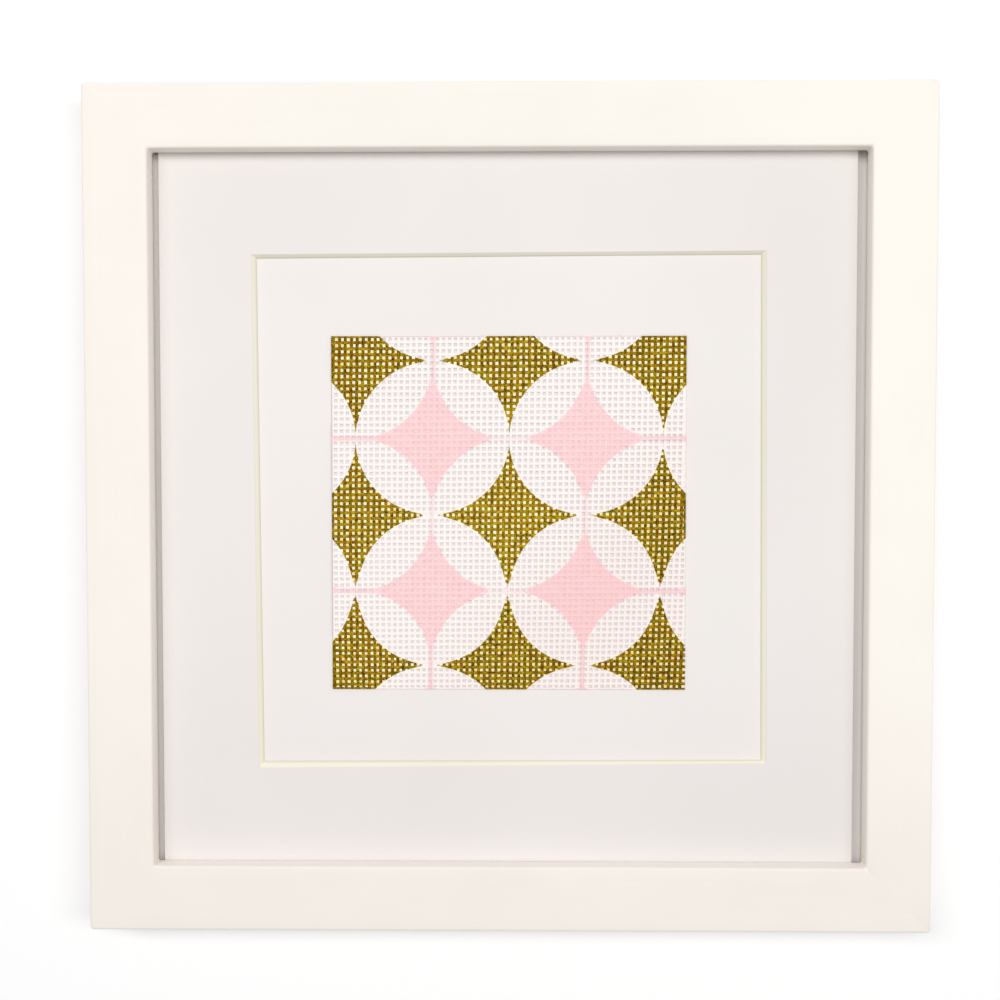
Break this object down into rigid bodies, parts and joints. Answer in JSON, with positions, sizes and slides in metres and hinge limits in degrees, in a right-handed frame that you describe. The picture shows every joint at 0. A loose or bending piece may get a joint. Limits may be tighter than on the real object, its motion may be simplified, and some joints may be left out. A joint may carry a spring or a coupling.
{
  "type": "needlepoint canvas panel in a picture frame",
  "caption": "Square of painted mono needlepoint canvas, float-mounted on a board inside a bevel-cut mat and a flat white mitred picture frame.",
  "frame": {"origin": "middle of the underside, which is the back of the picture frame", "axes": "+Z is the way the canvas faces, +Y is the top of the picture, +X is its right"},
  "size_m": [0.282, 0.2826, 0.019],
  "materials": {
    "cotton_canvas": "woven cotton, sized, painted white, pink and olive gold",
    "mount_board": "matte white paper face",
    "mat_board": "matte white paper face, cream core",
    "hardboard": "smooth pressed fibre",
    "white_paint": "warm white satin paint"
  },
  "bodies": {
    "root": {"needlepoint_canvas": "cotton_canvas", "mount_board": "mount_board", "window_mat": "mat_board", "backing_board": "hardboard", "frame_top": "white_paint", "frame_bottom": "white_paint", "frame_left": "white_paint", "frame_right": "white_paint"}
  },
  "joints": []
}
